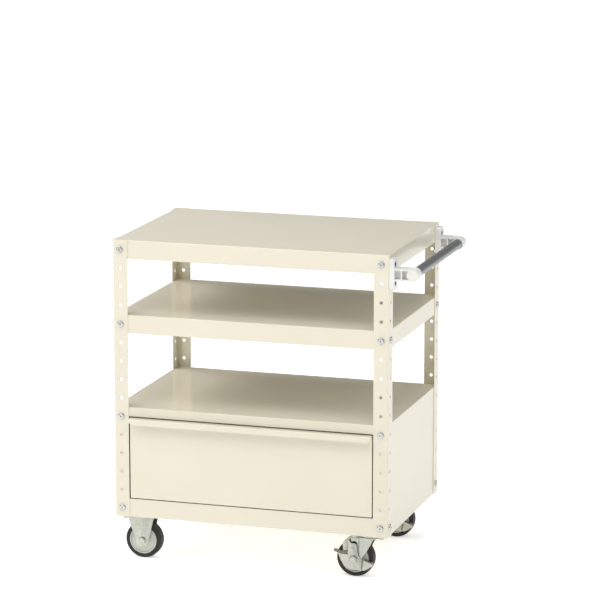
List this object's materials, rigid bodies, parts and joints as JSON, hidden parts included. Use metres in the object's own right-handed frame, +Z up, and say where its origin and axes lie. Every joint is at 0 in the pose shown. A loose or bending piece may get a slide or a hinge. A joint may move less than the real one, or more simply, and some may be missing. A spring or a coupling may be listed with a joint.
{
  "type": "workbench with drawers",
  "caption": "Wheeled steel workbench trolley: perforated angle posts, open shelves, a full-width drawer, a push handle, rigid casters and braked swivel casters.",
  "frame": {"origin": "on the floor, at the middle of the overall length and depth, push handle and drawer pull included", "axes": "+X towards the push handle, +Y towards the back (the drawer opens towards -Y), +Z up"},
  "size_m": [0.8345, 0.526, 0.872],
  "materials": {
    "ivory_powder_coat": "semi-gloss powder coat",
    "slide_steel": "zinc plated, satin",
    "bright_zinc": "bright zinc plated",
    "black_screw": "black oxide",
    "bracket_plastic": "moulded, satin",
    "bar_coat": "dark grey baked paint, satin",
    "cap_plastic": "moulded, satin",
    "caster_steel": "zinc plated, satin",
    "pedal_steel": "dark baked paint",
    "wheel_centre": "moulded nylon",
    "tyre": "moulded rubber"
  },
  "bodies": {
    "frame": {"front_left_post": "ivory_powder_coat", "front_right_post": "ivory_powder_coat", "rear_left_post": "ivory_powder_coat", "rear_right_post": "ivory_powder_coat", "top_shelf": "ivory_powder_coat", "middle_shelf": "ivory_powder_coat", "cabinet_top": "ivory_powder_coat", "cabinet_bottom": "ivory_powder_coat", "cabinet_left_side": "ivory_powder_coat", "cabinet_right_side": "ivory_powder_coat", "cabinet_back": "ivory_powder_coat", "left_slide_beam": "slide_steel", "right_slide_beam": "slide_steel", "left_slide_outer": "slide_steel", "right_slide_outer": "slide_steel", "front_handle_bracket": "bracket_plastic", "rear_handle_bracket": "bracket_plastic", "handle_bar": "bar_coat", "handle_bar_caps": "cap_plastic", "bracket_screws": "black_screw", "frame_bolts": "bright_zinc", "frame_nuts": "bright_zinc", "caster_bolts": "bright_zinc", "caster_nuts": "bright_zinc", "front_left_fork": "caster_steel", "rear_left_fork": "caster_steel", "front_left_axle": "caster_steel", "rear_left_axle": "caster_steel", "front_right_caster_plate": "caster_steel", "rear_right_caster_plate": "caster_steel", "front_right_swivel_race": "caster_steel", "rear_right_swivel_race": "caster_steel", "front_right_kingpin": "caster_steel", "rear_right_kingpin": "caster_steel"},
    "drawer": {"drawer_front": "ivory_powder_coat", "drawer_body": "ivory_powder_coat", "drawer_back": "ivory_powder_coat", "drawer_pull": "ivory_powder_coat", "drawer_screws": "bright_zinc", "left_slide_inner": "slide_steel", "right_slide_inner": "slide_steel"},
    "left_slide": {"left_slide_middle": "slide_steel"},
    "right_slide": {"right_slide_middle": "slide_steel"},
    "front_left_wheel": {"front_left_tyre": "tyre", "front_left_rim": "wheel_centre"},
    "rear_left_wheel": {"rear_left_tyre": "tyre", "rear_left_rim": "wheel_centre"},
    "front_right_caster": {"front_right_fork": "caster_steel", "front_right_axle": "caster_steel"},
    "front_right_wheel": {"front_right_tyre": "tyre", "front_right_rim": "wheel_centre"},
    "front_right_brake": {"front_right_brake_lever": "caster_steel", "front_right_brake_pedal": "pedal_steel"},
    "rear_right_caster": {"rear_right_fork": "caster_steel", "rear_right_axle": "caster_steel"},
    "rear_right_wheel": {"rear_right_tyre": "tyre", "rear_right_rim": "wheel_centre"},
    "rear_right_brake": {"rear_right_brake_lever": "caster_steel", "rear_right_brake_pedal": "pedal_steel"}
  },
  "joints": [
    {"name": "drawer_travel", "type": "slide", "parent": "frame", "child": "drawer", "axis": [0, -1, 0], "range_m": [0, 0.4]},
    {"name": "left_slide_travel", "type": "slide", "parent": "frame", "child": "left_slide", "axis": [0, -1, 0], "range_m": [0, 0.2]},
    {"name": "right_slide_travel", "type": "slide", "parent": "frame", "child": "right_slide", "axis": [0, -1, 0], "range_m": [0, 0.2]},
    {"name": "front_left_wheel_spin", "type": "hinge", "parent": "frame", "child": "front_left_wheel", "pos_m": [-0.34975, -0.191, 0.05], "axis": [0, 1, 0], "continuous": true},
    {"name": "rear_left_wheel_spin", "type": "hinge", "parent": "frame", "child": "rear_left_wheel", "pos_m": [-0.34975, 0.205, 0.05], "axis": [0, 1, 0], "continuous": true},
    {"name": "front_right_swivel", "type": "hinge", "parent": "frame", "child": "front_right_caster", "pos_m": [0.28275, -0.191, 0.11], "axis": [0, 0, 1], "continuous": true},
    {"name": "front_right_wheel_spin", "type": "hinge", "parent": "front_right_caster", "child": "front_right_wheel", "pos_m": [0.24125, -0.191, 0.05], "axis": [0, 1, 0], "continuous": true},
    {"name": "front_right_brake_rock", "type": "hinge", "parent": "front_right_caster", "child": "front_right_brake", "pos_m": [0.24125, -0.191, 0.05], "axis": [0, -1, 0], "range_deg": [0, 14]},
    {"name": "rear_right_swivel", "type": "hinge", "parent": "frame", "child": "rear_right_caster", "pos_m": [0.28275, 0.205, 0.11], "axis": [0, 0, 1], "continuous": true},
    {"name": "rear_right_wheel_spin", "type": "hinge", "parent": "rear_right_caster", "child": "rear_right_wheel", "pos_m": [0.24125, 0.205, 0.05], "axis": [0, 1, 0], "continuous": true},
    {"name": "rear_right_brake_rock", "type": "hinge", "parent": "rear_right_caster", "child": "rear_right_brake", "pos_m": [0.24125, 0.205, 0.05], "axis": [0, -1, 0], "range_deg": [0, 14]}
  ],
  "couplings": [
    {"joint": "left_slide_travel", "follows": "drawer_travel", "ratio": 0.5},
    {"joint": "right_slide_travel", "follows": "drawer_travel", "ratio": 0.5}
  ]
}
